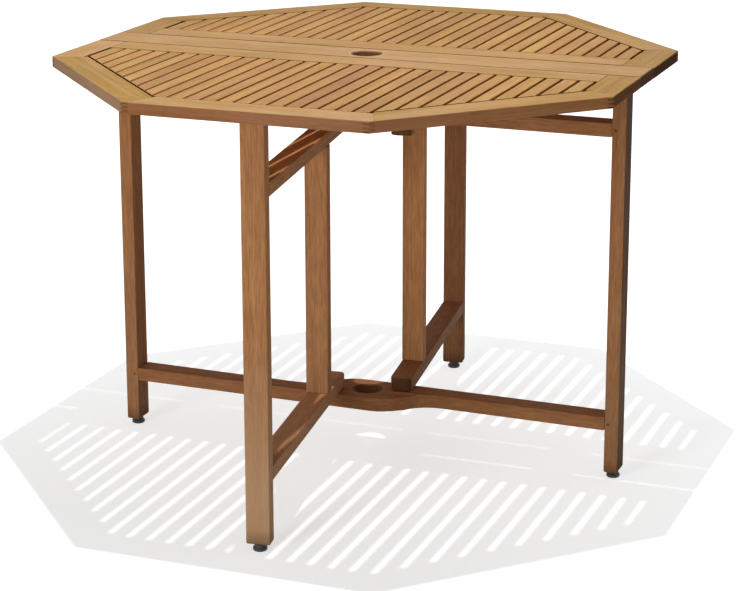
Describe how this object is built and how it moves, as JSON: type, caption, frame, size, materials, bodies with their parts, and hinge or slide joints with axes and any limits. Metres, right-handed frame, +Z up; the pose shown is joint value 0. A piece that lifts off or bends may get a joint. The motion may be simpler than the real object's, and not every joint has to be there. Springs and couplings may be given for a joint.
{
  "type": "umbrella table",
  "caption": "Folding octagonal patio table in oiled wood with slatted drop leaves, swing-out gate legs and an umbrella hole through its centre board and cranked rails.",
  "frame": {"origin": "on the floor under the centre of the umbrella hole, which is the bottom centre of the bounding box", "axes": "+Z up, X along the centre board, -Y towards the front leaf"},
  "size_m": [1.016, 1.067, 0.74],
  "materials": {
    "top_wood": "oiled, satin",
    "slat_wood": "oiled, satin",
    "frame_wood": "oiled, satin",
    "black_plastic": "matte",
    "zinc_steel": "zinc plated"
  },
  "bodies": {
    "frame": {"center_board": "top_wood", "lower_stretcher": "frame_wood", "top_rail": "frame_wood", "left_main_leg": "frame_wood", "left_lower_cross_pin": "frame_wood", "left_upper_cross_pin": "frame_wood", "right_main_leg": "frame_wood", "right_lower_cross_pin": "frame_wood", "right_upper_cross_pin": "frame_wood", "front_left_hinge_board_flap": "zinc_steel", "front_left_hinge_pin": "zinc_steel", "front_right_hinge_board_flap": "zinc_steel", "front_right_hinge_pin": "zinc_steel", "front_lower_pivot_pin": "zinc_steel", "front_lower_pivot_washer": "black_plastic", "front_upper_pivot_pin": "zinc_steel", "front_upper_pivot_washer": "black_plastic", "back_left_hinge_board_flap": "zinc_steel", "back_left_hinge_pin": "zinc_steel", "back_right_hinge_board_flap": "zinc_steel", "back_right_hinge_pin": "zinc_steel", "back_lower_pivot_pin": "zinc_steel", "back_lower_pivot_washer": "black_plastic", "back_upper_pivot_pin": "zinc_steel", "back_upper_pivot_washer": "black_plastic"},
    "front_leaf": {"front_leaf_slats": "slat_wood", "front_leaf_left_end_rail": "top_wood", "front_leaf_left_corner_rail": "top_wood", "front_leaf_outer_rail": "top_wood", "front_leaf_right_corner_rail": "top_wood", "front_leaf_right_end_rail": "top_wood", "front_left_hinge_leaf_flap": "zinc_steel", "front_right_hinge_leaf_flap": "zinc_steel"},
    "front_gate": {"front_gate_lower_rail": "frame_wood", "front_gate_upper_rail": "frame_wood", "front_gate_leg": "frame_wood", "front_gate_post": "frame_wood", "front_gate_buffer": "black_plastic"},
    "front_gate_foot": {"front_gate_glide": "black_plastic"},
    "back_leaf": {"back_leaf_slats": "slat_wood", "back_leaf_left_end_rail": "top_wood", "back_leaf_left_corner_rail": "top_wood", "back_leaf_outer_rail": "top_wood", "back_leaf_right_corner_rail": "top_wood", "back_leaf_right_end_rail": "top_wood", "back_left_hinge_leaf_flap": "zinc_steel", "back_right_hinge_leaf_flap": "zinc_steel"},
    "back_gate": {"back_gate_lower_rail": "frame_wood", "back_gate_upper_rail": "frame_wood", "back_gate_leg": "frame_wood", "back_gate_post": "frame_wood", "back_gate_buffer": "black_plastic"},
    "back_gate_foot": {"back_gate_glide": "black_plastic"},
    "left_main_foot": {"left_main_glide": "black_plastic"},
    "right_main_foot": {"right_main_glide": "black_plastic"}
  },
  "joints": [
    {"name": "front_gate_swing", "type": "hinge", "parent": "frame", "child": "front_gate", "pos_m": [-0.06127, -0.022, 0.119], "axis": [0, 0, 1], "range_deg": [0, 82]},
    {"name": "front_leaf_lift", "type": "hinge", "parent": "frame", "child": "front_leaf", "pos_m": [0, -0.0445, 0.7167], "axis": [-1, 0, 0], "range_deg": [0, 6.5]},
    {"name": "front_gate_glide_turn", "type": "hinge", "parent": "front_gate", "child": "front_gate_foot", "pos_m": [0.00696, -0.5075, 0.012], "axis": [0, 0, 1], "continuous": true},
    {"name": "back_gate_swing", "type": "hinge", "parent": "frame", "child": "back_gate", "pos_m": [0.06127, 0.022, 0.119], "axis": [0, 0, 1], "range_deg": [0, 82]},
    {"name": "back_leaf_lift", "type": "hinge", "parent": "frame", "child": "back_leaf", "pos_m": [0, 0.0445, 0.7167], "axis": [1, 0, 0], "range_deg": [0, 6.5]},
    {"name": "back_gate_glide_turn", "type": "hinge", "parent": "back_gate", "child": "back_gate_foot", "pos_m": [-0.00696, 0.5075, 0.012], "axis": [0, 0, 1], "continuous": true},
    {"name": "left_main_glide_turn", "type": "hinge", "parent": "frame", "child": "left_main_foot", "pos_m": [-0.461, -0.022, 0.012], "axis": [0, 0, 1], "continuous": true},
    {"name": "right_main_glide_turn", "type": "hinge", "parent": "frame", "child": "right_main_foot", "pos_m": [0.461, 0.022, 0.012], "axis": [0, 0, 1], "continuous": true}
  ]
}
